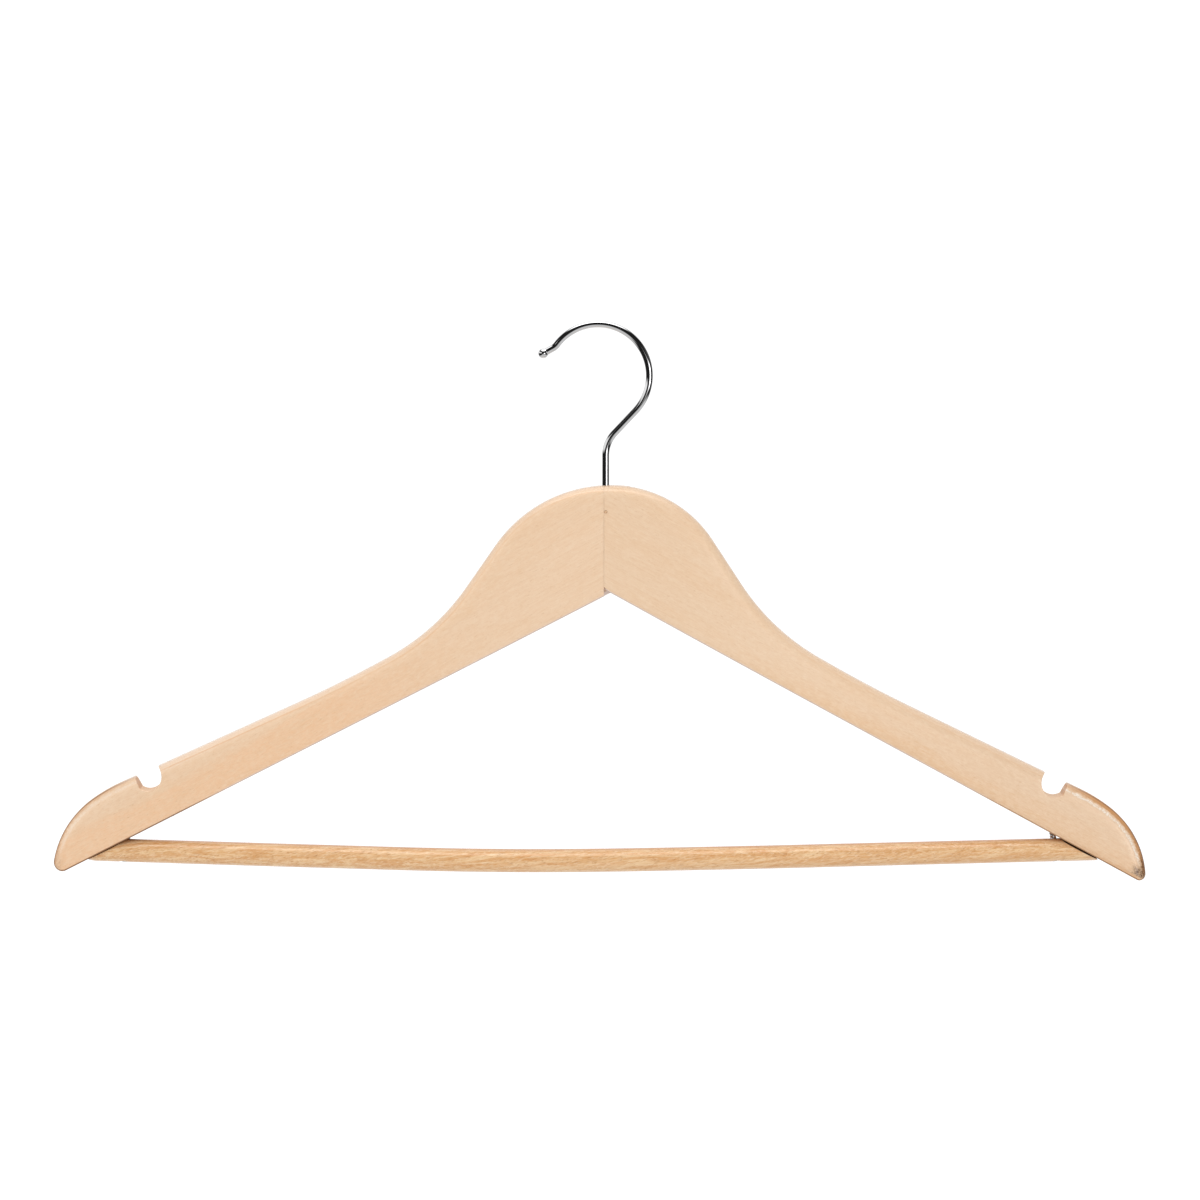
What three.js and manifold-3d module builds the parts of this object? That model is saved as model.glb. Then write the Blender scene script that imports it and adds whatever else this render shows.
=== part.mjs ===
// Wooden suit hanger with a round trouser bar and a swivelling wire hook.
//
// Millimetres, +Z up. The origin is the inside of the hook's crown, the point that rests on a rail.
// The arms run along X, and the front of the hanger looks towards -Y: its middle stands forward
// and its two ends are swept back, like a pair of shoulders.
import * as THREE from 'three';
import { LoftGeometry } from 'three/addons/geometries/LoftGeometry.js';
import { mergeVertices } from 'three/addons/utils/BufferGeometryUtils.js';
import Module from 'manifold-3d';

// ---- driving dimensions ----

const LEFT = -1;
const RIGHT = 1;
const GAP = 0.3; // clearance between two pieces that touch

// Hook: round wire. All its bends are radii of the wire's centre line.
const WIRE_D = 2.8;
const CROWN_R = 19.9;
const SHANK_X = 3; // the shank stands a little beside the crown
const LEAN_ANGLE = 43.3; // of the straight between shank and crown, from the vertical
const SHANK_BEND_R = 12.6;
const CROWN_END_ANGLE = 143; // where the crown's arc ends, from +X towards +Z
const LIP_TURN = 24; // the lip is bent up again by this angle
const LIP_BEND_R = 5;
const LIP_LENGTH = 4.2;
const BALL_D = 3.9;
const SHANK_DEPTH = 26; // how far the shank reaches into the wood
const GROOVE_DEPTH = 10; // below the top of the wood
const GROOVE_WIDTH = 2.4;
const GROOVE_D = 1.7;

// Wood: the top of the dome is the highest point of the arms.
const WOOD_TOP_Z = -60.9;
const THICKNESS = 12;
const TOP_ROUND = 4; // round-over of the shoulder edges
const LOW_ROUND = 1; // round-over of the lower edges

// An arm's edge, from the dome to the tip and back along the lower edge. Angles are headings
// below the horizontal. The arms aren't quite alike: both are turned clockwise by ROLL, and
// the dome was sanded round after they had been glued.
const DOME_X = 2;
const DOME_R = { [LEFT]: 54.5, [RIGHT]: 47.2 };
const DOME_OVERLAP = Math.PI / 9; // past the top of the dome, where the arms overlap
const ROLL = 0.8;
const NECK_ANGLE = 56;
const NECK_LENGTH = { [LEFT]: 19.8, [RIGHT]: 20.7 };
const HOLLOW_R = 91.3;
const HOLLOW_ANGLE = 29.9;
const SHOULDER_R = 554;
const SHOULDER_ANGLE = 25.6;
const SHOULDER_LENGTH = 75.5;
const CAP_R = 70.7;
const CAP_ANGLE = 36.8;
const TIP_R = { [LEFT]: 38.4, [RIGHT]: 36.9 };
const TIP_ANGLE = { [LEFT]: 80.4, [RIGHT]: 84 };
const CORNER_R = { [LEFT]: 3.4, [RIGHT]: 2.5 };
const LOWER_ANGLE = 28.2;
const TIP_TO_MIDDLE = 215; // roughly: the cutters and the lower edge's line go past it

// Plan: a bend in the middle, then two straight arms.
const SWEEP_ANGLE = 7;
const MIDDLE_HALF = 80;

// Finger joint: five layers through the thickness, two of them tongues of the left arm.
const SEAM_X = -0.7;
const JOINT_DEPTH = 10;
const LAYERS = 5;

// Strap notch: part of a circle, with a straight outer wall square to the shoulder.
const NOTCH_R = 5.65;
const NOTCH_FROM_TIP = { [LEFT]: 37.8, [RIGHT]: 36.4 };
const NOTCH_DEPTH = 2; // of its centre below the shoulder edge
const NOTCH_WALL = 4.8; // from its centre to the straight wall
const NOTCH_WALL_ANGLE = 28;

// Trouser bar: a dowel that follows the sweep and sags a little. The points of its centre line
// are given beside the shank axis and below the top of the wood.
const BAR_D = 9.1;
const BAR_LINE = [
  [-203.6, -144.6],
  [-115, -145.9],
  [-35, -146.6],
  [60, -145.5],
  [193.2, -144.3],
];

// Bar screws: from below, through the bar's ends into the arms.
const SCREW_D = 2.3;
const SCREW_HEAD_D = 4;
const SCREW_HEAD_H = 1.4;
const SCREW_HEAD_RIM = 0.3; // the straight part of the head, below its cone
const SCREW_POINT_D = 0.6;
const SCREW_FROM_END = { [LEFT]: 14, [RIGHT]: 16 };
const SCREW_LEAN = 8; // from the vertical, towards the middle
const SCREW_SINK = 0.25; // of the head's face above the lowest point of the bar
const SCREW_GRIP = 11; // height inside the arm

// Hook pin: a brad from the front into the shank's groove.
const PIN_D = 1.2;
const PIN_RECESS = 0.1; // of its head below the face of the wood

// Cutters reach past the wood by this much.
const PAST = 30;

// ---- helpers ----

const rad = THREE.MathUtils.degToRad;
const wasm = await Module();
wasm.setup();

function toSolid(geometry) {
  const plain = new THREE.BufferGeometry().copy(geometry);
  plain.deleteAttribute('normal');
  plain.deleteAttribute('uv');
  const merged = mergeVertices(plain, 1e-4);
  const vertProperties = merged.attributes.position.array;
  const triVerts = new Uint32Array(merged.index.array);
  return new wasm.Manifold(new wasm.Mesh({ numProp: 3, vertProperties, triVerts }));
}

function toGeometry(solid) {
  const { vertProperties, triVerts } = solid.getMesh();
  const geometry = new THREE.BufferGeometry();
  geometry.setAttribute('position', new THREE.BufferAttribute(vertProperties, 3));
  geometry.setIndex(new THREE.BufferAttribute(triVerts, 1));
  return geometry;
}

function box(x0, x1, y0, y1, z0, z1) {
  const geometry = new THREE.BoxGeometry(x1 - x0, y1 - y0, z1 - z0);
  return toSolid(geometry.translate((x0 + x1) / 2, (y0 + y1) / 2, (z0 + z1) / 2));
}

// A prism along Y through the whole depth of the hanger, from an outline in X and Z.
function prismAlongY(shape) {
  const depth = 2 * PAST;
  const geometry = new THREE.ExtrudeGeometry(shape, { depth, bevelEnabled: false, curveSegments: 24 });
  return toSolid(geometry.rotateX(Math.PI / 2).translate(0, PAST + THICKNESS, 0));
}

// How far the hanger's middle plane stands back at x.
function setback(x) {
  const bendR = MIDDLE_HALF / Math.sin(rad(SWEEP_ANGLE));
  const out = Math.abs(x);
  if (out < MIDDLE_HALF) return bendR - Math.sqrt(bendR ** 2 - out ** 2);
  const bendDepth = bendR * (1 - Math.cos(rad(SWEEP_ANGLE)));
  return bendDepth + (out - MIDDLE_HALF) * Math.tan(rad(SWEEP_ANGLE));
}

// ---- the edge of an arm ----

// The edge is a chain of arcs and lines, in (u, z): u is the distance out from the shank axis.
// A heading h has the direction (cos h, -sin h) and the outward normal (sin h, cos h).
function armEdge(side) {
  const edge = [];
  let u = side * DOME_X;
  let z = 0;
  const arc = (radius, from, to, roundAt) => {
    const [a, b] = [rad(from), rad(to)];
    const cu = u - radius * Math.sin(a);
    const cz = z - radius * Math.cos(a);
    edge.push({ cu, cz, radius, from: a, to: b, roundAt });
    u = cu + radius * Math.sin(b);
    z = cz + radius * Math.cos(b);
  };
  const line = (length, heading, roundAt) => {
    const h = rad(heading);
    edge.push({ u, z, length, from: h, to: h, roundAt });
    u += length * Math.cos(h);
    z -= length * Math.sin(h);
  };
  const turn = ROLL * side;
  const top = () => TOP_ROUND;
  const cornerFrom = TIP_ANGLE[side] + turn;
  const cornerTo = 180 + LOWER_ANGLE + turn;
  const cornerRound = (heading) => {
    const t = THREE.MathUtils.inverseLerp(rad(cornerFrom), rad(cornerTo), heading);
    return THREE.MathUtils.lerp(TOP_ROUND, LOW_ROUND, t);
  };
  arc(DOME_R[side], 0, NECK_ANGLE + turn, top);
  edge[0].from = -DOME_OVERLAP; // the dome goes on over the tongues of the joint
  line(NECK_LENGTH[side], NECK_ANGLE + turn, top);
  arc(-HOLLOW_R, NECK_ANGLE + turn, HOLLOW_ANGLE + turn, top);
  arc(-SHOULDER_R, HOLLOW_ANGLE + turn, SHOULDER_ANGLE + turn, top);
  line(SHOULDER_LENGTH, SHOULDER_ANGLE + turn, top);
  arc(CAP_R, SHOULDER_ANGLE + turn, CAP_ANGLE + turn, top);
  arc(TIP_R[side], CAP_ANGLE + turn, cornerFrom, top);
  arc(CORNER_R[side], cornerFrom, cornerTo, cornerRound);
  line(1.3 * TIP_TO_MIDDLE, cornerTo, () => LOW_ROUND);
  return edge;
}

function pointOn(piece, heading, distance = 0) {
  if (piece.radius === undefined)
    return [piece.u + distance * Math.cos(piece.from), piece.z - distance * Math.sin(piece.from)];
  return [piece.cu + piece.radius * Math.sin(heading), piece.cz + piece.radius * Math.cos(heading)];
}

// Height of the upper edge at u, and the heading there.
function upperEdge(edge, u) {
  const piece = edge.slice(0, -1).findLast((p) => pointOn(p, p.from)[0] <= u + 1e-9);
  if (piece.radius === undefined) {
    const along = (u - piece.u) / Math.cos(piece.from);
    return [pointOn(piece, piece.from, along)[1], piece.from];
  }
  const heading = Math.asin((u - piece.cu) / piece.radius);
  return [pointOn(piece, heading)[1], heading];
}

// Height of the lower edge at u: the corner of the tip, then the straight.
function lowerEdge(edge, u) {
  const [corner, low] = edge.slice(-2);
  if (u > low.u) return corner.cz - Math.sqrt(Math.max(0, corner.radius ** 2 - (u - corner.cu) ** 2));
  return low.z - (u - low.u) * Math.tan(low.from);
}

// Half the thickness at a point of the face: full, or less inside the round-over of the edge.
function halfThickness(edge, u, z) {
  let half = THICKNESS / 2;
  for (const piece of edge) {
    let heading = piece.from;
    let depth;
    if (piece.radius === undefined) {
      const along = (u - piece.u) * Math.cos(heading) - (z - piece.z) * Math.sin(heading);
      if (along < 0 || along > piece.length) continue;
      depth = -(u - piece.u) * Math.sin(heading) - (z - piece.z) * Math.cos(heading);
    } else {
      const sign = Math.sign(piece.radius);
      heading = Math.atan2(sign * (u - piece.cu), sign * (z - piece.cz));
      if (heading < -Math.PI / 2) heading += 2 * Math.PI;
      if ((heading - piece.from) * (heading - piece.to) > 0) continue;
      depth = piece.radius - sign * Math.hypot(u - piece.cu, z - piece.cz);
    }
    const round = piece.roundAt(heading);
    const left = Math.max(0, round - Math.max(0, depth));
    half = Math.min(half, THICKNESS / 2 - round + Math.sqrt(round ** 2 - left ** 2));
  }
  return half;
}

// The stations along an arm: evenly spaced on each piece of the edge. The last one is where the
// corner of the tip is almost upright.
function stations(edge) {
  const steps = [11, 2, 7, 4, 5, 3, 11, 1];
  const lastHeading = rad(86);
  const list = [];
  edge.slice(0, -1).forEach((piece, i) => {
    const last = i === steps.length - 1;
    const to = last ? lastHeading : piece.to;
    for (let k = 0; k < steps[i] + (last ? 1 : 0); k += 1) {
      const t = k / steps[i];
      const heading = THREE.MathUtils.lerp(piece.from, to, t);
      list.push(pointOn(piece, heading, t * piece.length)[0]);
    }
  });
  return list;
}

// ---- arms ----

function notchShape(side, edge) {
  const tip = edge.at(-2);
  const u = tip.cu + tip.radius - NOTCH_FROM_TIP[side];
  const z = upperEdge(edge, u)[0] - NOTCH_DEPTH;
  const half = Math.acos(NOTCH_WALL / NOTCH_R);
  const wall = -rad(NOTCH_WALL_ANGLE);
  const shape = new THREE.Shape();
  shape.absarc(u, z, NOTCH_R, wall + half, wall - half + 2 * Math.PI, false);
  shape.closePath();
  if (side === RIGHT) return shape;
  return new THREE.Shape(shape.getPoints(24).map((p) => new THREE.Vector2(-p.x, p.y)).reverse());
}

function armSolid(side) {
  const edge = armEdge(side);
  // Shares of the two round-overs' reach at which a section has points.
  const topSteps = [1, 0.64, 0.36, 0.15, 0.04, 0];
  const lowSteps = [0, 0.1, 0.4, 1];
  const sections = stations(edge).map((u) => {
    const [top, heading] = upperEdge(edge, u);
    const low = lowerEdge(edge, u);
    const height = top - low;
    const topReach = Math.min(TOP_ROUND / Math.cos(heading), 0.5 * height);
    const lowReach = Math.min(LOW_ROUND / Math.cos(rad(LOWER_ANGLE)), 0.3 * height);
    const levels = lowSteps.map((s) => low + s * lowReach);
    levels.push(...topSteps.map((s) => top - s * topReach));
    const rim = (face) => levels.map((z) => {
      const y = setback(u) + side * face * halfThickness(edge, u, z);
      return new THREE.Vector3(side * u, y, z);
    });
    return [...rim(1), ...rim(-1).reverse()];
  });
  const blank = toSolid(new LoftGeometry(sections, { capStart: true, capEnd: true }));
  return blank.subtract(prismAlongY(notchShape(side, edge)));
}

// What the joint takes away from an arm: all that lies past its fingers, and the slots between
// them. The left arm's fingers are the second and fourth layers, and start at the seam.
function jointCut(side) {
  const layer = THICKNESS / LAYERS;
  const farX = -side * PAST;
  const tongueEnd = SEAM_X + JOINT_DEPTH;
  const [reachX, slotX] = side === LEFT ? [tongueEnd, SEAM_X] : [SEAM_X, tongueEnd];
  const past = (x, y0, y1) => {
    const edgeX = x + side * GAP / 2;
    return box(Math.min(edgeX, farX), Math.max(edgeX, farX), y0, y1, -DOME_R[LEFT] - PAST, PAST);
  };
  let cut = past(reachX, -PAST, PAST);
  for (let i = side === LEFT ? 0 : 1; i < LAYERS; i += 2) {
    const front = i === 0 ? -PAST : i * layer - THICKNESS / 2 - GAP / 2;
    const back = i === LAYERS - 1 ? PAST : (i + 1) * layer - THICKNESS / 2 + GAP / 2;
    cut = cut.add(past(slotX, front, back));
  }
  return cut;
}

// ---- holes and fasteners ----

function cylinder(diameter, length, segments) {
  return new THREE.CylinderGeometry(diameter / 2, diameter / 2, length, segments);
}

function shankBore() {
  const bottom = -SHANK_DEPTH - 1;
  const bore = cylinder(WIRE_D + 2 * GAP, PAST - bottom, 24).rotateX(Math.PI / 2);
  return toSolid(bore.translate(0, 0, (PAST + bottom) / 2));
}

function pinGeometry(grow = 0) {
  const inner = -GROOVE_D / 2 - GAP + grow;
  const outer = -THICKNESS / 2 + PIN_RECESS - grow;
  const length = inner - outer;
  return cylinder(PIN_D + 2 * grow, length, 12).translate(0, (inner + outer) / 2, -GROOVE_DEPTH);
}

const barLine = new THREE.SplineCurve(BAR_LINE.map(([x, z]) => new THREE.Vector2(x, z)));

// Height of the bar's centre line at x.
function barHeight(x) {
  const t = inverse((s) => barLine.getPoint(s).x, x);
  return barLine.getPoint(t).y;
}

// Where a rising function of 0 to 1 takes a value, by halving.
function inverse(rising, value) {
  let [low, high] = [0, 1];
  for (let i = 0; i < 40; i += 1) {
    const middle = (low + high) / 2;
    if (rising(middle) < value) low = middle;
    else high = middle;
  }
  return low;
}

// A bar screw, with its countersunk head sunk in the bar's underside. A grown one is its hole.
function screwGeometry(side, grow = 0) {
  const end = BAR_LINE.at(side === LEFT ? 0 : -1)[0];
  const x = end - side * SCREW_FROM_END[side];
  const lean = rad(SCREW_LEAN);
  const z = barHeight(x) - BAR_D / 2 + SCREW_SINK;
  const bite = lowerEdge(armEdge(side), side * x) + SCREW_GRIP;
  const length = (bite - z) / Math.cos(lean) + grow;
  const shank = SCREW_D / 2 + grow;
  const head = SCREW_HEAD_D / 2 + grow;
  const below = grow > 0 ? -BAR_D : 0;
  const profile = [
    [0, below],
    [head, below],
    [head, SCREW_HEAD_RIM],
    [shank, SCREW_HEAD_H],
    [shank, length - SCREW_D],
    [SCREW_POINT_D / 2, length],
    [0, length],
  ];
  const geometry = new THREE.LatheGeometry(profile.map(([r, h]) => new THREE.Vector2(r, h)), 20);
  return geometry.rotateX(Math.PI / 2).rotateY(-side * lean).translate(x, setback(x), z);
}

// ---- trouser bar ----

class BarAxis extends THREE.Curve {
  getPoint(t, target = new THREE.Vector3()) {
    const p = barLine.getPoint(t);
    return target.set(p.x, setback(p.x), p.y);
  }
}

function barSolid() {
  const section = new THREE.Shape().absarc(0, 0, BAR_D / 2, 0, 2 * Math.PI);
  const extrudePath = new BarAxis();
  let bar = toSolid(new THREE.ExtrudeGeometry(section, { steps: 36, extrudePath, curveSegments: 10 }));
  for (const side of [LEFT, RIGHT]) {
    const low = armEdge(side).at(-1);
    const h = low.from;
    const lift = GAP / Math.abs(Math.cos(h));
    const [near, far] = [TIP_TO_MIDDLE / 2, 1.2 * TIP_TO_MIDDLE];
    const zAt = (u) => low.z - (u - low.u) * Math.tan(h) - lift;
    const points = [[near, zAt(near)], [far, zAt(far)], [far, 0], [near, 0]];
    const shape = new THREE.Shape(points.map(([u, z]) => new THREE.Vector2(side * u, z)));
    bar = bar.subtract(prismAlongY(shape));
  }
  return bar;
}

// ---- hook ----

// The wire's centre line in X and Z: up the shank, across the lean, round the crown, out to the lip.
function wirePath() {
  const lean = rad(LEAN_ANGLE);
  const crownZ = WIRE_D / 2 - CROWN_R;
  const leanEnd = new THREE.Vector2(CROWN_R * Math.cos(lean), crownZ - CROWN_R * Math.sin(lean));
  const kneeZ = leanEnd.y - (leanEnd.x - SHANK_X) / Math.tan(lean);
  const bendZ = kneeZ - SHANK_BEND_R * Math.tan(lean / 2);
  const crownEnd = rad(CROWN_END_ANGLE);
  const lipReach = CROWN_R + LIP_BEND_R;
  const lip = new THREE.Vector2(lipReach * Math.cos(crownEnd), crownZ + lipReach * Math.sin(crownEnd));
  const lipFrom = crownEnd + Math.PI;
  const lipTo = lipFrom - rad(LIP_TURN);
  const path = new THREE.Path();
  path.moveTo(SHANK_X, WOOD_TOP_Z - SHANK_DEPTH);
  path.lineTo(SHANK_X, bendZ);
  path.absarc(SHANK_X + SHANK_BEND_R, bendZ, SHANK_BEND_R, Math.PI, Math.PI - lean, true);
  path.lineTo(leanEnd.x, leanEnd.y);
  path.absarc(0, crownZ, CROWN_R, -lean, crownEnd, false);
  path.absarc(lip.x, lip.y, LIP_BEND_R, lipFrom, lipTo, true);
  const end = path.getPoint(1);
  path.lineTo(end.x + LIP_LENGTH * Math.sin(lipTo), end.y - LIP_LENGTH * Math.cos(lipTo));
  return path;
}

// A flat path stood up in the plane of the hanger.
class UprightLine extends THREE.Curve {
  constructor(path) {
    super();
    this.path = path;
    this.arcLengthDivisions = 800;
  }

  getPoint(t, target = new THREE.Vector3()) {
    const p = this.path.getPoint(t);
    return target.set(p.x, 0, p.y);
  }
}

function hookSolid() {
  const path = wirePath();
  const section = new THREE.Shape().absarc(0, 0, WIRE_D / 2, 0, 2 * Math.PI);
  const extrudePath = new UprightLine(path);
  const wire = toSolid(new THREE.ExtrudeGeometry(section, { steps: 96, extrudePath, curveSegments: 7 }));
  const tip = path.getPoint(1);
  const ball = toSolid(new THREE.SphereGeometry(BALL_D / 2, 18, 12).translate(tip.x, 0, tip.y));
  const ring = [[GROOVE_D / 2, -1], [WIRE_D, -1], [WIRE_D, 1], [GROOVE_D / 2, 1], [GROOVE_D / 2, -1]];
  const profile = ring.map(([x, y]) => new THREE.Vector2(x, y * GROOVE_WIDTH / 2));
  const groove = new THREE.LatheGeometry(profile, 20).rotateX(Math.PI / 2);
  groove.translate(SHANK_X, 0, WOOD_TOP_Z - GROOVE_DEPTH);
  return wire.add(ball).subtract(toSolid(groove));
}

// ---- assembly ----

const armWood = new THREE.MeshStandardMaterial({ color: 0xeccdac, roughness: 0.5, metalness: 0 });
const barWood = new THREE.MeshStandardMaterial({ color: 0xdfb488, roughness: 0.5, metalness: 0 });
const chrome = new THREE.MeshStandardMaterial({ color: 0xdcdee0, roughness: 0.1, metalness: 1 });
const steel = new THREE.MeshStandardMaterial({ color: 0xb9bbbd, roughness: 0.3, metalness: 1 });

function node(name, shape, material) {
  const geometry = shape.isBufferGeometry ? shape : toGeometry(shape);
  const mesh = new THREE.Mesh(geometry, material);
  mesh.name = name;
  return mesh;
}

const pinHole = toSolid(pinGeometry(GAP));
const screwHoles = toSolid(screwGeometry(LEFT, GAP)).add(toSolid(screwGeometry(RIGHT, GAP)));

function arm(side) {
  const whole = armSolid(side).subtract(jointCut(side));
  return whole.subtract(shankBore()).subtract(pinHole).subtract(screwHoles);
}

// The wooden part hangs from the hook's shank: its frame has the shank's axis as x = 0 and
// the top of the wood as z = 0.
const body = new THREE.Group();
body.position.set(SHANK_X, 0, WOOD_TOP_Z);
body.add(
  node('left_arm', arm(LEFT), armWood),
  node('right_arm', arm(RIGHT), armWood),
  node('trouser_bar', barSolid().subtract(screwHoles), barWood),
  node('hook_pin', pinGeometry(), steel),
  node('left_bar_screw', screwGeometry(LEFT), steel),
  node('right_bar_screw', screwGeometry(RIGHT), steel),
);

const hanger = new THREE.Group();
hanger.add(node('hook', hookSolid(), chrome), body);

export default hanger;
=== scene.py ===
"""Visual model of a wooden suit hanger: two lacquered arms glued in a finger joint, a round
trouser bar screwed on from below, and a chrome wire hook that turns in the wood.

Shapes are worked out in millimetres, in the frame of the wooden part: x = 0 on the shank's axis,
z = 0 at the top of the wood. Each mesh is then put in the row frame, in metres.
"""

import math
from types import SimpleNamespace

import bpy
import numpy as np
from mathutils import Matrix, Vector
from mathutils.geometry import delaunay_2d_cdt


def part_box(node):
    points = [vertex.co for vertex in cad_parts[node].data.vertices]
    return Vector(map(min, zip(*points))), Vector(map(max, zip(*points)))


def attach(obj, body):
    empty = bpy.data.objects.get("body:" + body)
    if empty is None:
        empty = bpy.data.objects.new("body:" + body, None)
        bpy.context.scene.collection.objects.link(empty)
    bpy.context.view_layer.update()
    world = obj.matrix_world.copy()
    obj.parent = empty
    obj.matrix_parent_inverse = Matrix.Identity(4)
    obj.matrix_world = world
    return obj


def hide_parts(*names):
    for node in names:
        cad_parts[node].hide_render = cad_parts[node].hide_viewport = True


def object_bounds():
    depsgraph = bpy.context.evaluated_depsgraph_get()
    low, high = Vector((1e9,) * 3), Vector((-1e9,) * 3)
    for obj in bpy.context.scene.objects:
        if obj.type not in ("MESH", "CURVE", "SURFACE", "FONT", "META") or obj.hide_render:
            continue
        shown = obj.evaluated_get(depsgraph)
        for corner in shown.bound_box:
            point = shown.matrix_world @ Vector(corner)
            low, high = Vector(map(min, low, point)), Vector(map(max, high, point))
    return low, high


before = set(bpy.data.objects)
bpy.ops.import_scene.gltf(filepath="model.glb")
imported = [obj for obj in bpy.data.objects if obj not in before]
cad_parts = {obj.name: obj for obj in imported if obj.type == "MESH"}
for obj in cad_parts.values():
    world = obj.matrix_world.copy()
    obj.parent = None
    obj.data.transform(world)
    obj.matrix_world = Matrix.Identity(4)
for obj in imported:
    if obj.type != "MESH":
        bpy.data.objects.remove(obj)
CAD_LOW, CAD_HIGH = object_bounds()

MM = 0.001
LEFT, RIGHT = -1, 1

# The wooden part's frame, read from the CAD nodes.
PIN_LOW, PIN_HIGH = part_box("hook_pin")
SHANK = Vector(((PIN_LOW.x + PIN_HIGH.x) / 2, 0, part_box("left_arm")[1].z))
BAR_LOW_X, BAR_HIGH_X = [(corner.x - SHANK.x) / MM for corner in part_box("trouser_bar")]
HOOK_BOTTOM_Z = (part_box("hook")[0].z - SHANK.z) / MM

# ---- dimensions in millimetres and degrees ----
# They are the CAD's, apart from the gaps, plays, wear, recess and thread, which are finer here.

WIRE_D = 2.8
CROWN_R = 19.9
CROWN_X = -3.0
CROWN_Z = 42.4
LEAN_ANGLE = 43.3
SHANK_BEND_R = 12.6
CROWN_END_ANGLE = 143
LIP_TURN = 24
LIP_BEND_R = 5
LIP_LENGTH = 4.2
BALL_D = 3.9
GROOVE_DEPTH = 10
GROOVE_WIDTH = 2.4
GROOVE_D = 1.7

THICKNESS = 12
FACE_Y = -THICKNESS / 2
TOP_ROUND = 4
LOW_ROUND = 1
DOME_X = 2
DOME_R = {LEFT: 54.5, RIGHT: 47.2}
ROLL = 0.8  # both arms are turned clockwise by this
NECK_ANGLE = 56
NECK_LENGTH = {LEFT: 19.8, RIGHT: 20.7}
HOLLOW_R = 91.3
HOLLOW_ANGLE = 29.9
SHOULDER_R = 554
SHOULDER_ANGLE = 25.6
SHOULDER_LENGTH = 75.5
CAP_R = 70.7
CAP_ANGLE = 36.8
TIP_R = {LEFT: 38.4, RIGHT: 36.9}
TIP_ANGLE = {LEFT: 80.4, RIGHT: 84}
CORNER_R = {LEFT: 3.4, RIGHT: 2.5}
LOWER_ANGLE = 28.2
SWEEP_ANGLE = 7
MIDDLE_HALF = 80  # out from the shank, where the bend back ends in the straight sweep

SEAM_X = -0.7
JOINT_DEPTH = 10
LAYERS = 5
GLUE = 0.06  # width of the glue lines
HOOK_PLAY = 0.12  # between the shank and its bore
PIN_PLAY = 0.03

NOTCH_R = 5.65
NOTCH_FROM_TIP = {LEFT: 37.8, RIGHT: 36.4}
NOTCH_DEPTH = 2
NOTCH_WALL = 4.8
NOTCH_WALL_ANGLE = 28
NOTCH_EASE = 0.35  # the notch's edges are only broken, not rounded

BAR_D = 9.1
BAR_LINE = [(-203.6, -144.6), (-115, -145.9), (-35, -146.6), (60, -145.5), (193.2, -144.3)]
BAR_WEAR = {LEFT: (3.4, 0.7), RIGHT: (0.8, 0.12)}  # length and depth of the rounding at its ends
BAR_GAP = {LEFT: 0.3, RIGHT: 0.5}  # between the bar's cut ends and the arms
BAR_GAP_TAPER = {LEFT: 0.02, RIGHT: 0.09}  # what the gap loses per millimetre towards the back
SCREW_D = 2.3
SCREW_HEAD_D = 4
SCREW_HEAD_H = 1.4
SCREW_FROM_END = {LEFT: 14, RIGHT: 16}
SCREW_LEAN = 8
SCREW_SINK = 0.25
SCREW_GRIP = 11
SCREW_PLAY = 0.05
SCREW_HEAD_PLAY = 0.12
SCREW_TAPER = 3.2  # length of its point
THREAD_FROM = 4  # down from the head's face
THREAD_PITCH = 1.3
THREAD_DEPTH = 0.22
RECESS_HALF = 1.35  # of the screw's cross recess
RECESS_THIN = 0.34
RECESS_DEPTH = 1.2
PIN_D = 1.2

# ---- how finely the meshes are made ----

SHARP_ANGLE = 32
WIRE_SHARP_ANGLE = 50
ARC_STEP = 0.7
LINE_STEP = 1.4
GRID_STEP = 2.6
GRID_FROM_ROUND = 0.8  # between the grid and the round-over
GRID_CLEAR = 0.9  # between the grid and any edge
ROW_CLEAR = 0.04  # between a row of points and any edge
ROW_ANGLES = (18, 36, 54, 72, 90)  # of the rows of points round an arm's round-over
WALL_LEVELS = (-0.5, 0, 0.5)  # of the rows between its faces, in halves of its thickness
JOINT_POINTS = 40
NOTCH_POINTS = 64
NOTCH_WALL_POINTS = 18
THREAD_ROWS = 9  # in each turn of the screw's thread
BALL_RINGS = np.cos(np.linspace(0.18, math.pi - 0.02, 22))  # along the wire, in the ball's radii


# ---- meshes ----


def setback(x):
    """How far the hanger's middle plane stands back at x."""
    angle = math.radians(SWEEP_ANGLE)
    bend_r = MIDDLE_HALF / math.sin(angle)
    out = np.abs(x)
    bent = bend_r - np.sqrt(np.maximum(bend_r**2 - np.minimum(out, MIDDLE_HALF) ** 2, 0))
    return bent + np.maximum(out - MIDDLE_HALF, 0) * math.tan(angle)


def make_object(name, points, faces, sharp_angle=SHARP_ANGLE):
    """A smooth-shaded mesh object in the row frame, from points in the wooden part's frame."""
    mesh = bpy.data.meshes.new(name)
    placed = np.asarray(points, float) * MM + np.array(SHANK)
    mesh.from_pydata(placed.tolist(), [], [list(map(int, f)) for f in faces])
    mesh.validate()
    obj = bpy.data.objects.new(name, mesh)
    bpy.context.scene.collection.objects.link(obj)
    select_only(obj)
    bpy.ops.object.mode_set(mode="EDIT")
    bpy.ops.mesh.select_all(action="SELECT")
    bpy.ops.mesh.normals_make_consistent(inside=False)
    bpy.ops.object.mode_set(mode="OBJECT")
    smooth(obj, sharp_angle)
    return obj


def select_only(obj):
    bpy.ops.object.select_all(action="DESELECT")
    obj.select_set(True)
    bpy.context.view_layer.objects.active = obj


def smooth(obj, sharp_angle):
    obj.data.shade_smooth()
    obj.data.set_sharp_from_angle(angle=math.radians(sharp_angle))


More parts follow.
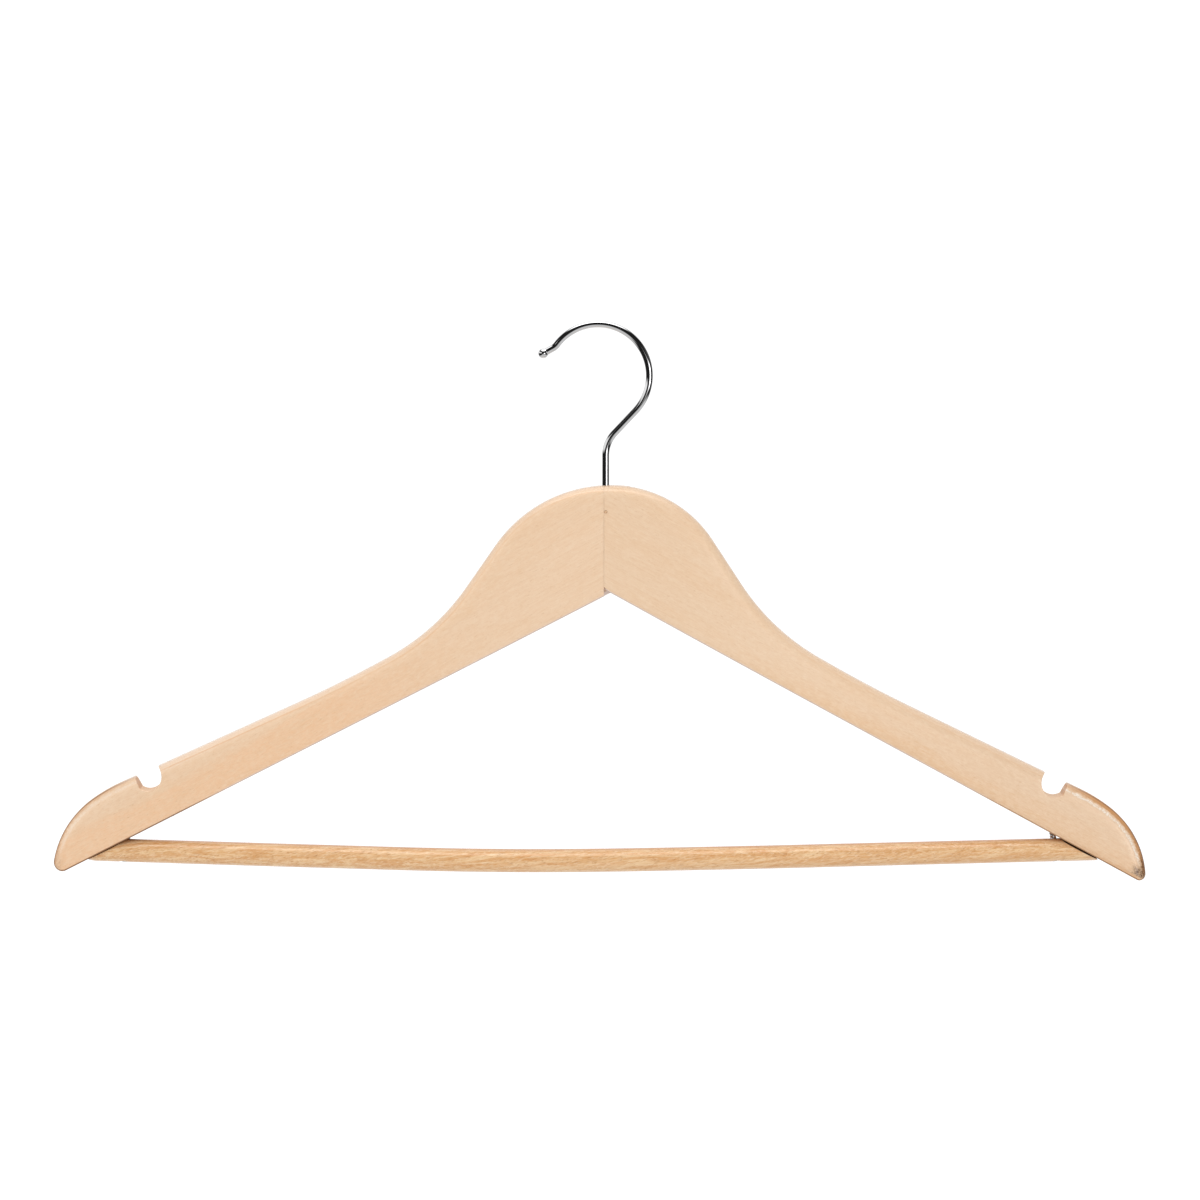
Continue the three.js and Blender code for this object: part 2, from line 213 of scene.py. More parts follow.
def box(x, y, z):
    """A cutter from three (low, high) pairs."""
    corners = ((0, 0), (1, 0), (1, 1), (0, 1))
    return prism([(end, y[j], z[k]) for end in x for j, k in corners])


def prism(points):
    """A cutter between two four-cornered ends, from its eight corners."""
    faces = [(0, 1, 2, 3), (4, 5, 6, 7), (0, 1, 5, 4), (1, 2, 6, 5), (2, 3, 7, 6), (3, 0, 4, 7)]
    return make_object("cutter", points, faces)


def cut(obj, cutters):
    """Takes the cutters away from obj, and removes them."""
    for cutter in cutters:
        modifier = obj.modifiers.new("cut", "BOOLEAN")
        modifier.operation = "DIFFERENCE"
        modifier.solver = "MANIFOLD"
        modifier.object = cutter
        select_only(obj)
        bpy.ops.object.modifier_apply(modifier=modifier.name)
        bpy.data.objects.remove(cutter)
    smooth(obj, SHARP_ANGLE)


def sweep(path, radii, up, segments):
    """Points and faces of a round rod along a path, closed at both ends."""
    path = np.asarray(path, float)
    tangent = np.gradient(path, axis=0)
    tangent /= np.linalg.norm(tangent, axis=1)[:, None]
    side = np.asarray(up, float) - (tangent @ np.asarray(up, float))[:, None] * tangent
    side /= np.linalg.norm(side, axis=1)[:, None]
    across = np.cross(tangent, side)
    turn = (np.arange(segments) * 2 * math.pi / segments)[None, :, None]
    ring = np.cos(turn) * side[:, None] + np.sin(turn) * across[:, None]
    points = (path[:, None] + ring * np.asarray(radii, float)[:, None, None]).reshape(-1, 3)
    return points, rod_faces(len(path), segments)


def rod_faces(rows, segments):
    """Faces between rows of points, with an n-gon at each end."""
    faces = [tuple(range(segments)), tuple((rows - 1) * segments + i for i in range(segments))]
    for row in range(rows - 1):
        for i in range(segments):
            a, b = row * segments + i, row * segments + (i + 1) % segments
            faces.append((a, b, b + segments, a + segments))
    return faces


# ---- an arm's outline ----


def arm_outline(side, inner_u):
    """Outline points of an arm in (u, z), u being the distance out from the shank, from inner_u
    along the upper edge, round the tip and back along the lower edge. Beside them, the round-over
    radius at each point."""
    turn = ROLL * side
    here = np.array([side * DOME_X, 0.0])
    points, rounds = [], []

    def add(new, r0, r1):
        points.extend(new)
        rounds.extend(np.linspace(r0, r1, len(new), endpoint=False))

    def arc(radius, start, end, first=None, r1=TOP_ROUND):
        nonlocal here
        start, end = math.radians(start), math.radians(end)
        centre = here - radius * np.array([math.sin(start), math.cos(start)])
        first = start if first is None else math.asin((first - centre[0]) / radius)
        count = max(12, int(abs(radius * (end - first)) / ARC_STEP))
        turns = np.linspace(first, end, count, endpoint=False)
        add(centre + radius * np.column_stack([np.sin(turns), np.cos(turns)]), TOP_ROUND, r1)
        here = centre + radius * np.array([math.sin(end), math.cos(end)])

    def line(length, heading, rounding=TOP_ROUND):
        nonlocal here
        heading = math.radians(heading)
        step = np.array([math.cos(heading), -math.sin(heading)])
        along = np.linspace(0, length, max(2, int(length / LINE_STEP)), endpoint=False)
        add(here + along[:, None] * step, rounding, rounding)
        here = here + length * step

    arc(DOME_R[side], 0, NECK_ANGLE + turn, first=inner_u)
    line(NECK_LENGTH[side], NECK_ANGLE + turn)
    arc(-HOLLOW_R, NECK_ANGLE + turn, HOLLOW_ANGLE + turn)
    arc(-SHOULDER_R, HOLLOW_ANGLE + turn, SHOULDER_ANGLE + turn)
    line(SHOULDER_LENGTH, SHOULDER_ANGLE + turn)
    arc(CAP_R, SHOULDER_ANGLE + turn, CAP_ANGLE + turn)
    arc(TIP_R[side], CAP_ANGLE + turn, TIP_ANGLE[side] + turn)
    low = 180 + LOWER_ANGLE + turn
    arc(CORNER_R[side], TIP_ANGLE[side] + turn, low, r1=LOW_ROUND)
    line((here[0] - inner_u) / -math.cos(math.radians(low)), low, LOW_ROUND)
    points.append(here)
    rounds.append(LOW_ROUND)
    return np.array(points), np.array(rounds)


def lower_edge(side):
    """Height of an arm's straight lower edge as a function of u."""
    points, _ = arm_outline(side, 0)
    (u0, z0), (u1, z1) = points[-2], points[-1]
    return lambda u: z1 + (u - u1) * (z0 - z1) / (u0 - u1)


def with_notch(side, outline):
    """Puts the strap notch in an outline. Returns the new outline, and for each of its points
    whether it is the notch's."""
    clear = 0.1  # between the notch's ends and the outline's next points
    tip = np.argmax(outline[:, 0])
    upper = outline[: tip + 1]
    centre_u = outline[tip, 0] - NOTCH_FROM_TIP[side]
    centre = np.array([centre_u, np.interp(centre_u, *upper.T) - NOTCH_DEPTH])
    half = math.acos(NOTCH_WALL / NOTCH_R)
    wall = -math.radians(NOTCH_WALL_ANGLE)
    turns = np.linspace(math.pi / 2, 2 * math.pi + wall - half, NOTCH_POINTS)
    round_part = centre + NOTCH_R * np.column_stack([np.cos(turns), np.sin(turns)])
    wall_end = centre + NOTCH_R * np.array([math.cos(wall + half), math.sin(wall + half)])
    share = np.linspace(0, 1, NOTCH_WALL_POINTS)[1:, None]
    path = np.vstack([round_part, round_part[-1] * (1 - share) + wall_end * share])
    below = path[:, 1] < np.interp(path[:, 0], *upper.T)
    first, last = np.argmax(below), len(below) - 1 - np.argmax(below[::-1])
    start = crossing(path[first], path[first - 1], upper)
    end = crossing(path[last], path[last + 1], upper)
    notch = np.vstack([start, path[first : last + 1], end])
    before = np.flatnonzero(outline[:tip, 0] < notch[0, 0] - clear)[-1] + 1
    after = np.flatnonzero(outline[:tip, 0] > notch[-1, 0] + clear)[0]
    made = np.vstack([outline[:before], notch, outline[after:]])
    is_notch = np.zeros(len(made), bool)
    is_notch[before : before + len(notch)] = True
    return made, is_notch


def crossing(inside, outside, upper):
    """Where the line between two points crosses the upper edge."""
    for _ in range(20):
        middle = (inside + outside) / 2
        if middle[1] < np.interp(middle[0], *upper.T):
            inside = middle
        else:
            outside = middle
    return inside


def distances(points, line):
    """Distance from each point to each segment of a line, and how far along the segment."""
    start, step = line[:-1], np.diff(line, axis=0)
    offset = points[:, None] - start[None]
    share = np.clip((offset * step).sum(2) / (step**2).sum(1), 0, 1)
    return np.linalg.norm(offset - share[..., None] * step, axis=2), share


def half_thickness(points, outline, rounds, notch):
    """Half the wood's thickness at points of the face: less inside the round-over, and a little
    less again along the notch."""
    depth, share = distances(points, outline)
    radius = rounds[:-1] + np.diff(rounds) * share
    left = np.maximum(radius - depth, 0)
    half = (THICKNESS / 2 - radius + np.sqrt(np.maximum(radius**2 - left**2, 0))).min(axis=1)
    near = np.maximum(NOTCH_EASE - distances(points, notch)[0].min(axis=1), 0)
    return half - (NOTCH_EASE - np.sqrt(NOTCH_EASE**2 - near**2))


def inward(outline):
    """Unit normals pointing into the wood. The outline runs clockwise."""
    along = np.gradient(outline, axis=0)
    normal = np.column_stack([along[:, 1], -along[:, 0]])
    return normal / np.linalg.norm(normal, axis=1)[:, None]


def arm_face(outline, radius, plain, rounds):
    """Points and triangles of an arm's face in (u, z). Rows of points follow the round-over, whose
    radius is given at each point of the outline, and a grid fills the flat wood inside them."""
    closing = np.linspace(outline[-1], outline[0], JOINT_POINTS + 2)[1:-1]
    loop = np.vstack([outline, closing])
    closed = np.vstack([loop, loop[:1]])
    rows = [loop]
    for angle in ROW_ANGLES:
        inset = radius * (1 - math.cos(math.radians(angle)))
        row = outline + inward(outline) * inset[:, None]
        clear = distances(row, closed)[0].min(axis=1)
        uncrowded = clear > 0.9 * inset
        rows.append(row[uncrowded & (clear > ROW_CLEAR)])

    low, high = loop.min(axis=0), loop.max(axis=0)
    columns, lines = (np.arange(low[k], high[k], GRID_STEP) for k in (0, 1))
    grid_u, grid_z = np.meshgrid(columns, lines)
    grid_u = grid_u + (np.arange(len(lines)) % 2)[:, None] * GRID_STEP / 2
    grid = np.column_stack([grid_u.ravel(), grid_z.ravel()])
    to_plain = distances(grid, plain)[0]
    on_flat = to_plain.min(axis=1) > rounds[to_plain.argmin(axis=1)] + GRID_FROM_ROUND
    clear = distances(grid, closed)[0].min(axis=1)
    rows.append(grid[on_flat & (clear > GRID_CLEAR)])

    edges = [(i, (i + 1) % len(loop)) for i in range(len(loop))]
    result = delaunay_2d_cdt([Vector(p) for p in np.vstack(rows)], edges, [], 1, 1e-5)
    return np.array([tuple(p) for p in result[0]]), [tuple(f) for f in result[2]]


def thicken(side, face, triangles, half):
    """Points and faces of the solid whose front and back stand half away from the middle plane."""
    uses = {}
    for a, b, c in triangles:
        for ends in ((a, b), (b, c), (c, a)):
            pair = tuple(sorted(ends))
            uses[pair] = uses.get(pair, 0) + 1
    rim = [pair for pair, count in uses.items() if count == 1]
    rim_points = sorted({i for pair in rim for i in pair})

    def layer(level):
        depth = setback(face[:, 0]) + level * half
        return np.column_stack([side * face[:, 0], depth, face[:, 1]])

    count = len(face)
    points = [layer(-1), layer(1)]
    faces = triangles + [tuple(count + i for i in reversed(f)) for f in triangles]
    rows = [{i: i for i in rim_points}]
    for k, level in enumerate(WALL_LEVELS):
        points.append(layer(level)[rim_points])
        start = 2 * count + k * len(rim_points)
        rows.append({point: start + i for i, point in enumerate(rim_points)})
    rows.append({i: count + i for i in rim_points})
    for a, b in rim:
        for lower, upper in zip(rows, rows[1:]):
            faces.append((lower[a], lower[b], upper[b], upper[a]))
    return np.vstack(points), faces


def arm_blank(side, name, inner_u):
    """An arm with its round-over and its notch, and its joint end still whole."""
    plain, rounds = arm_outline(side, inner_u)
    outline, is_notch = with_notch(side, plain)
    depth, share = distances(outline, plain)
    nearest = depth.argmin(axis=1)
    near_share = share[np.arange(len(outline)), nearest]
    radius = rounds[nearest] + (rounds[nearest + 1] - rounds[nearest]) * near_share
    radius[is_notch] = NOTCH_EASE
    face, triangles = arm_face(outline, radius, plain, rounds)
    half = half_thickness(face, plain, rounds, outline[is_notch])
    return make_object(name, *thicken(side, face, triangles, half))


def make_arm(side, name):
    """An arm, with the slots of the finger joint, the shank's bore and the holes cut in it."""
    tongue_end = SEAM_X + JOINT_DEPTH
    reach, slot = (tongue_end, SEAM_X) if side == LEFT else (SEAM_X, tongue_end)
    arm = arm_blank(side, name, side * reach + GLUE / 2)
    layer = THICKNESS / LAYERS
    edge = slot + side * GLUE / 2
    past_end, past_face, past_edges = side * -40, 30, (-80, 10)
    cutters = []
    for i in range(0 if side == LEFT else 1, LAYERS, 2):
        front = -past_face if i == 0 else i * layer - THICKNESS / 2 - GLUE / 2
        back = past_face if i == LAYERS - 1 else (i + 1) * layer - THICKNESS / 2 + GLUE / 2
        cutters.append(box(sorted((edge, past_end)), (front, back), past_edges))
    bore = WIRE_D / 2 + HOOK_PLAY
    cutters.append(lathe("cutter", [(bore, 5), (bore, HOOK_BOTTOM_Z - 1)], (0, 0, 0), (0, 0, 1)))
    hole = PIN_D / 2 + PIN_PLAY
    mouth = hole + PIN_PLAY
    pin_depth = THICKNESS / 2 - GROOVE_D / 2
    pin_profile = [(mouth, -1), (mouth, 0.01), (hole, 0.1), (hole, pin_depth)]
    cutters.append(lathe("cutter", pin_profile, (0, FACE_Y, -GROOVE_DEPTH), (0, 1, 0)))
    cutters.append(screw_hole(side))
    cut(arm, cutters)
    mark_edge(arm, side)
    return arm


def mark_edge(arm, side):
    """Keeps, at each point of an arm, its distance in millimetres from the outline."""
    outline, _ = arm_outline(side, SEAM_X * side - JOINT_DEPTH)
    flat = np.empty(3 * len(arm.data.vertices))
    arm.data.vertices.foreach_get("co", flat)
    points = (flat.reshape(-1, 3) - np.array(SHANK)) / MM
    depth = distances(points[:, (0, 2)] * (side, 1), outline)[0].min(axis=1)
    kept = arm.data.attributes.new("edge_distance", "FLOAT", "POINT")
    kept.data.foreach_set("value", depth.astype(np.float32))


# ---- turned pieces ----


def lathe(name, profile, start, axis, segments=28, lead=None):
    """A turned solid: (radius, distance) pairs along an axis from start. lead gives the radius
    that a thread adds at each (distance, turn)."""
    axis = np.asarray(axis, float)
    axis /= np.linalg.norm(axis)
    side = np.cross(axis, (0.3, 0.9, 0.1))
    side /= np.linalg.norm(side)
    other = np.cross(axis, side)
    turn = np.arange(segments) / segments
    angle = 2 * math.pi * turn[:, None]
    ring = np.cos(angle) * side + np.sin(angle) * other
    points = []
    for radius, along in profile:
        r = radius + (lead(along, turn) if lead else 0)
        points.append(np.asarray(start, float) + axis * along + ring * np.reshape(r, (-1, 1)))
    return make_object(name, np.vstack(points), rod_faces(len(profile), segments))


def bar_height(x):
    """Height of the bar's centre line at x."""
    line = bar_curve(np.linspace(0, 1, 400))
    return np.interp(x, line[:, 0], line[:, 1])


def bar_curve(shares):
    """The smooth curve through BAR_LINE, at shares of its length from 0 to 1."""
    knots = np.array(BAR_LINE, float)
    spot = np.asarray(shares) * (len(knots) - 1)
    i = np.minimum(spot.astype(int), len(knots) - 2)
    t = (spot - i)[:, None]
    p0 = knots[np.where(i == 0, i, i - 1)]
    p1, p2 = knots[i], knots[i + 1]
    p3 = knots[np.minimum(i + 2, len(knots) - 1)]
    v0, v1 = (p2 - p0) / 2, (p3 - p1) / 2
    cubic = 2 * p1 - 2 * p2 + v0 + v1
    square = -3 * p1 + 3 * p2 - 2 * v0 - v1
    return cubic * t**3 + square * t**2 + v0 * t + p1


def screw_axis(side):
    """(start at the face of the head, direction, length) of a bar screw."""
    end = BAR_LINE[0 if side == LEFT else -1][0]
    x = end - side * SCREW_FROM_END[side]
    lean = math.radians(SCREW_LEAN)
    z = bar_height(x) - BAR_D / 2 + SCREW_SINK
    bite = lower_edge(side)(side * x) + SCREW_GRIP
    direction = (-side * math.sin(lean), 0, math.cos(lean))
    return (x, float(setback(x)), z), direction, (bite - z) / math.cos(lean)


def screw_hole(side):
    start, direction, length = screw_axis(side)
    shank, head = SCREW_D / 2 + SCREW_PLAY, SCREW_HEAD_D / 2 + SCREW_HEAD_PLAY
    foot = SCREW_HEAD_H + SCREW_PLAY
    profile = [(head, -BAR_D), (head, 0.25), (shank, foot), (shank, length + 0.2)]
    return lathe("cutter", profile, start, direction)


def make_screw(side, name):
    """A countersunk wood screw: its head has a cross recess, and its thread runs to the point."""
    start, direction, length = screw_axis(side)
    shank, head = SCREW_D / 2, SCREW_HEAD_D / 2
    body = [(head - 0.5, 0.0), (head - 0.12, 0.02), (head, 0.14), (head, 0.3)]
    body += [(shank + 0.12, SCREW_HEAD_H - 0.1), (shank, SCREW_HEAD_H + 0.15)]
    for along in np.arange(THREAD_FROM, length, THREAD_PITCH / THREAD_ROWS):
        body.append((shank * min(1, 0.15 + 0.85 * (length - along) / SCREW_TAPER), along))

    def thread(along, turn):
        if along < THREAD_FROM:
            return 0 * turn
        phase = (along / THREAD_PITCH - turn) % 1
        crest = np.clip(1 - np.abs(phase - 0.5) / 0.28, 0, 1)
        fade_in, fade_out = (along - THREAD_FROM) / THREAD_PITCH, (length - along) / SCREW_TAPER
        fade = min(1, fade_in, fade_out + 0.1)
        return THREAD_DEPTH * crest * fade

    screw = lathe(name, body, start, direction, lead=thread)
    recess = []
    for width, breadth in ((RECESS_HALF, RECESS_THIN), (RECESS_THIN, RECESS_HALF)):
        recess.append(tapered_blade(start, direction, width, breadth))
    cut(screw, recess)
    return screw


def tapered_blade(start, direction, width, breadth):
    """One blade of the cross recess's cutter, narrower at its foot."""
    axis = np.asarray(direction)
    side = np.cross(axis, (0, 1, 0))
    side /= np.linalg.norm(side)
    other = np.cross(axis, side)
    points = []
    for along, share in ((-0.4, 1.15), (RECESS_DEPTH, 0.45)):
        for a, b in ((-1, -1), (1, -1), (1, 1), (-1, 1)):
            reach = side * a * width * share + other * b * breadth * share
            points.append(np.asarray(start) + axis * along + reach)
    return prism(points)


def make_pin(name):
    """The brad that holds the hook: a slightly crowned round head, just below the face."""
    r = PIN_D / 2
    length = (PIN_HIGH.y - PIN_LOW.y) / MM
    profile = [(0.15, 0.0), (r * 0.55, 0.015), (r * 0.85, 0.05), (r * 0.98, 0.12), (r, 0.22)]
    profile += [(r, length - 0.3), (r * 0.6, length)]
    return lathe(name, profile, (0, PIN_LOW.y / MM, -GROOVE_DEPTH), (0, 1, 0), segments=24)


def make_bar(name):
    """The trouser bar: a bent dowel with its ends cut along the arms' lower edges."""
    line = bar_curve(np.linspace(0, 1, 260))
    path = np.column_stack([line[:, 0], setback(line[:, 0]), line[:, 1]])
    radii = np.full(len(line), BAR_D / 2)
    for side, end_x in ((LEFT, BAR_LOW_X), (RIGHT, BAR_HIGH_X)):
        reach, loss = BAR_WEAR[side]
        radii -= loss * np.clip(1 - side * (end_x - line[:, 0]) / reach, 0, 1) ** 2
    bar = make_object(name, *sweep(path, radii, (0, 0, 1), segments=56))
    near, far, past_front, past_back = 100, 260, -60, 90
    cutters = []
    for side in (LEFT, RIGHT):
        low = lower_edge(side)
        corners = [(near, low(near)), (far, low(far)), (far, 0), (near, 0)]
        middle = float(setback(side * (near + far) / 2))
        points = []
        for y in (past_front, past_back):
            gap = BAR_GAP[side] - BAR_GAP_TAPER[side] * (y - middle)
            points += [(side * u, y, z - (gap if z < 0 else 0)) for u, z in corners]
        cutters += [prism(points), screw_hole(side)]
    cut(bar, cutters)
    return bar


# ---- hook ----


def hook_path():
    """The wire's centre line in x and z, from the foot of the shank to the end of the lip."""
    lean = math.radians(LEAN_ANGLE)
    lean_end = np.array([CROWN_X + CROWN_R * math.cos(lean), CROWN_Z - CROWN_R * math.sin(lean)])
    knee_z = lean_end[1] - lean_end[0] / math.tan(lean)
    bend_z = knee_z - SHANK_BEND_R * math.tan(lean / 2)
    crown_end = math.radians(CROWN_END_ANGLE)
    reach = CROWN_R + LIP_BEND_R
    lip = (CROWN_X + reach * math.cos(crown_end), CROWN_Z + reach * math.sin(crown_end))
    lip_from = crown_end + math.pi
    lip_to = lip_from - math.radians(LIP_TURN)
    rise = np.linspace(HOOK_BOTTOM_Z, bend_z, 90)[:-1]
    path = [np.column_stack([np.zeros_like(rise), rise])]

    def arc(centre, radius, start, end, count):
        turns = np.linspace(start, end, count)
        path.append(np.array(centre) + radius * np.column_stack([np.cos(turns), np.sin(turns)]))

    arc((SHANK_BEND_R, bend_z), SHANK_BEND_R, math.pi, math.pi - lean, 24)
    share = np.linspace(0, 1, 14)[1:-1, None]
    path.append(path[-1][-1] * (1 - share) + lean_end * share)
    arc((CROWN_X, CROWN_Z), CROWN_R, -lean, crown_end, 120)
    arc(lip, LIP_BEND_R, lip_from, lip_to, 12)
    path[-1] = path[-1][1:]
    out = np.array([math.sin(lip_to), -math.cos(lip_to)])
    straight = np.linspace(0.2, LIP_LENGTH - 1.9, 6)
    along = np.concatenate([straight, LIP_LENGTH - BALL_D / 2 * BALL_RINGS])
    path.append(path[-1][-1] + along[:, None] * out)
    return np.vstack(path)


def make_hook(name):
    """The wire hook, with its round end and the groove that the brad stands in."""
    path = hook_path()
    radii = np.full(len(path), WIRE_D / 2)
    in_groove = np.abs(path[:, 1] + GROOVE_DEPTH) < GROOVE_WIDTH / 2
    radii[in_groove & (np.abs(path[:, 0]) < 1)] = GROOVE_D / 2
    count = len(BALL_RINGS)
    centre = path[-1] - (path[-1] - path[-2]) / np.linalg.norm(path[-1] - path[-2]) * BALL_D / 2
    away = np.linalg.norm(path[-count:] - centre, axis=1)
    smallest = 0.02
    ball = np.sqrt(np.maximum((BALL_D / 2) ** 2 - away**2, smallest**2))
    before = np.arange(count) < count / 2
    radii[-count:] = np.where(before, np.maximum(ball, WIRE_D / 2), ball)
    upright = np.column_stack([path[:, 0], np.zeros(len(path)), path[:, 1]])
    points, faces = sweep(upright, radii, (0, 1, 0), segments=40)
    return make_object(name, points, faces, WIRE_SHARP_ANGLE)


# ---- materials ----


class Graph:
    """Adds shader nodes with few words. A value is a number, a tuple or another node's output."""

    def __init__(self, owner, shader="Principled BSDF"):
        owner.use_nodes = True
        self.owner = owner
        self.nodes = owner.node_tree.nodes
        self.links = owner.node_tree.links
        self.shader = self.nodes[shader]

    def node(self, kind, inputs, output=0, **settings):
        made = self.nodes.new(kind)
        for key, value in settings.items():
            setattr(made, key, value)
        for key, value in inputs.items():
            self.plug(made.inputs[key], value)
        return made.outputs[output]

    def plug(self, socket, value):
        if isinstance(value, bpy.types.NodeSocket):
            self.links.new(value, socket)
        else:
            socket.default_value = value

    def set(self, **values):
        for key, value in values.items():
            self.plug(self.shader.inputs[key.replace("_", " ")], value)

    def coords(self, rotation=(0, 0, 0)):
        """Object coordinates in millimetres, turned."""
        place = self.nodes.new("ShaderNodeTexCoord").outputs["Object"]
        turn = tuple(math.radians(a) for a in rotation)
        inputs = {0: place, 1: (1 / MM, 1 / MM, 1 / MM)}
        large = self.node("ShaderNodeVectorMath", inputs, operation="MULTIPLY")
        return self.node("ShaderNodeMapping", {"Vector": large, "Rotation": turn})

    def stretch(self, vector, scale, offset=(0, 0, 0)):
        inputs = {"Vector": vector, "Scale": scale, "Location": offset}
        return self.node("ShaderNodeMapping", inputs)

    def noise(self, vector, detail=3, roughness=0.5, distortion=0):
        inputs = {"Vector": vector, "Scale": 1, "Detail": detail}
        inputs |= {"Roughness": roughness, "Distortion": distortion}
        return self.node("ShaderNodeTexNoise", inputs)

    def range(self, value, low, high, to_low=0, to_high=1):
        """Value from low to high, which may be the lower one, mapped smoothly to to_low to
        to_high."""
        inputs = {"Value": value, 1: low, 2: high, 3: to_low, 4: to_high}
        return self.node("ShaderNodeMapRange", inputs, interpolation_type="SMOOTHSTEP")

    def math(self, operation, a, b=0.0):
        return self.node("ShaderNodeMath", {0: a, 1: b}, operation=operation)

    def mix(self, share, a, b):
        return self.node("ShaderNodeMix", {0: share, 6: a, 7: b}, 2, data_type="RGBA")

    def bump(self, height, distance, strength):
        """The normal of bumps that are distance metres high."""
        inputs = {"Height": height, "Distance": distance, "Strength": strength}
        return self.node("ShaderNodeBump", inputs)

    def attribute(self, name):
        return self.node("ShaderNodeAttribute", {}, "Fac", attribute_name=name)

    def separate(self, vector):
        """The x, y and z outputs of a vector."""
        made = self.nodes.new("ShaderNodeSeparateXYZ")
        self.plug(made.inputs[0], vector)
        return made.outputs

    def times(self, *values):
        product = values[0]
        for value in values[1:]:
            product = self.math("MULTIPLY", product, value)
        return product

    def facing(self, direction):
        """How much the surface faces along a direction, either way: 0 to 1."""
        inputs = {0: self.object_normal(), 1: direction}
        dot = self.node("ShaderNodeVectorMath", inputs, "Value", operation="DOT_PRODUCT")
        return self.math("ABSOLUTE", dot)

    def object_normal(self):
        return self.nodes.new("ShaderNodeTexCoord").outputs["Normal"]


def colour(red, green, blue):
    """A linear colour from sRGB bytes."""

    def linear(value):
        share = value / 255
        return share / 12.92 if share < 0.04045 else ((share + 0.055) / 1.055) ** 2.4

    return (linear(red), linear(green), linear(blue), 1)


def new_material(name):
    return bpy.data.materials.new(name)


# Places on an arm in millimetres: across its grain, or out from the middle.
HALF_LINE = {LEFT: -77.5, RIGHT: -84.0}  # between its paler and its warmer half, across
HALF_WANDER = 2.5
HALF_BLEND = 2.5
LOW_EDGE = {LEFT: -87.4, RIGHT: -89.9}  # across
HIGHLIGHT_DEPTH = {LEFT: 2.0, RIGHT: 2.5}  # of the painted highlight band, in from the edge
HIGHLIGHT_OUT = {LEFT: (120, 180), RIGHT: (174, 184)}
TIP_WIDTH = {LEFT: 0.9, RIGHT: 1.5}  # of the browned edge at the tip, end grain and painted dark reflection
HIGH_WIDTH = 1.9  # of the painted highlight along the upper edge
# Shares of the tints below.
HIGHLIGHT_SHARE = {LEFT: 0.35, RIGHT: 0.8}
TIP_TONE = {LEFT: 0, RIGHT: 0.3}
TIP_BROWN_AND_REFLECTION = {LEFT: 0.4, RIGHT: 0.85}
TIP_BURN_AND_REFLECTION = {LEFT: 0.15, RIGHT: 0.9}
LOW_SHADE = {LEFT: 0.95, RIGHT: 0.35}
UPPER_HIGHLIGHT_SHARE = {LEFT: 0.5, RIGHT: 0.12}


def arm_fields(g, side, offset):
    """What an arm's looks depend on: noises that follow its grain, and places on it."""
    grain = g.coords((0, -side * LOWER_ANGLE, 0))
    f = SimpleNamespace()
    f.bands = g.noise(g.stretch(grain, (0.006, 0.13, 0.13), offset), 3, 0.55, 0.6)
    f.streaks = g.noise(g.stretch(grain, (0.03, 0.9, 0.9), offset), 3, 0.6)
    f.fibres = g.noise(g.stretch(grain, (0.16, 3.2, 3.2), offset), 2, 0.55)
    f.mottle = g.noise(g.stretch(grain, (0.45, 0.9, 0.9), offset), 4, 0.65)
    f.speckle = g.noise(g.stretch(grain, (1.3, 2.2, 2.2), offset), 2, 0.6)
    f.flecks = g.noise(g.stretch(grain, (0.5, 2.3, 2.3), (7, 3, 11)), 1, 0.4)
    f.across = g.separate(grain)[2]
    f.above_low = g.math("SUBTRACT", f.across, LOW_EDGE[side])
    f.out = g.times(g.separate(g.coords())[0], side)
    f.at_tip = g.range(f.out, 172, 200)
    f.edge = g.attribute("edge_distance")
    f.ragged = g.math("ADD", f.edge, g.range(f.mottle, 0.3, 0.7, -0.3, 0.3))
    f.front = g.facing((0, 1, 0))
    f.up = g.separate(g.object_normal())[2]
    return f


def plain_wood(g, f, side, upper, lower):
    """The wood itself: a paler and a warmer half, then bands, streaks, fibres and flecks."""
    wander = g.times(g.range(f.bands, 0.3, 0.7, -1, 1), HALF_WANDER)
    height = g.math("ADD", f.across, wander)
    below = g.range(height, HALF_LINE[side] + HALF_BLEND, HALF_LINE[side] - HALF_BLEND)
    paint = g.mix(g.times(below, g.range(f.out, 40, 110)), upper, lower)
    paint = g.mix(g.range(f.out, 60, 190, 0, TIP_TONE[side]), paint, colour(214, 176, 140))
    for noise, low, high, share, tint in (
        (f.bands, 0.4, 0.75, 0.3, (233, 190, 146)),
        (f.streaks, 0.45, 0.75, 0.3, (226, 186, 146)),
        (f.mottle, 0.4, 0.75, 0.35, (246, 220, 192)),
        (f.speckle, 0.52, 0.75, 0.35, (220, 180, 138)),
        (f.flecks, 0.66, 0.8, 0.35, (206, 158, 112)),
        (f.fibres, 0.3, 0.75, 0.25, (250, 228, 202)),
    ):
        paint = g.mix(g.range(noise, low, high, 0, share), paint, colour(*tint))
    return paint


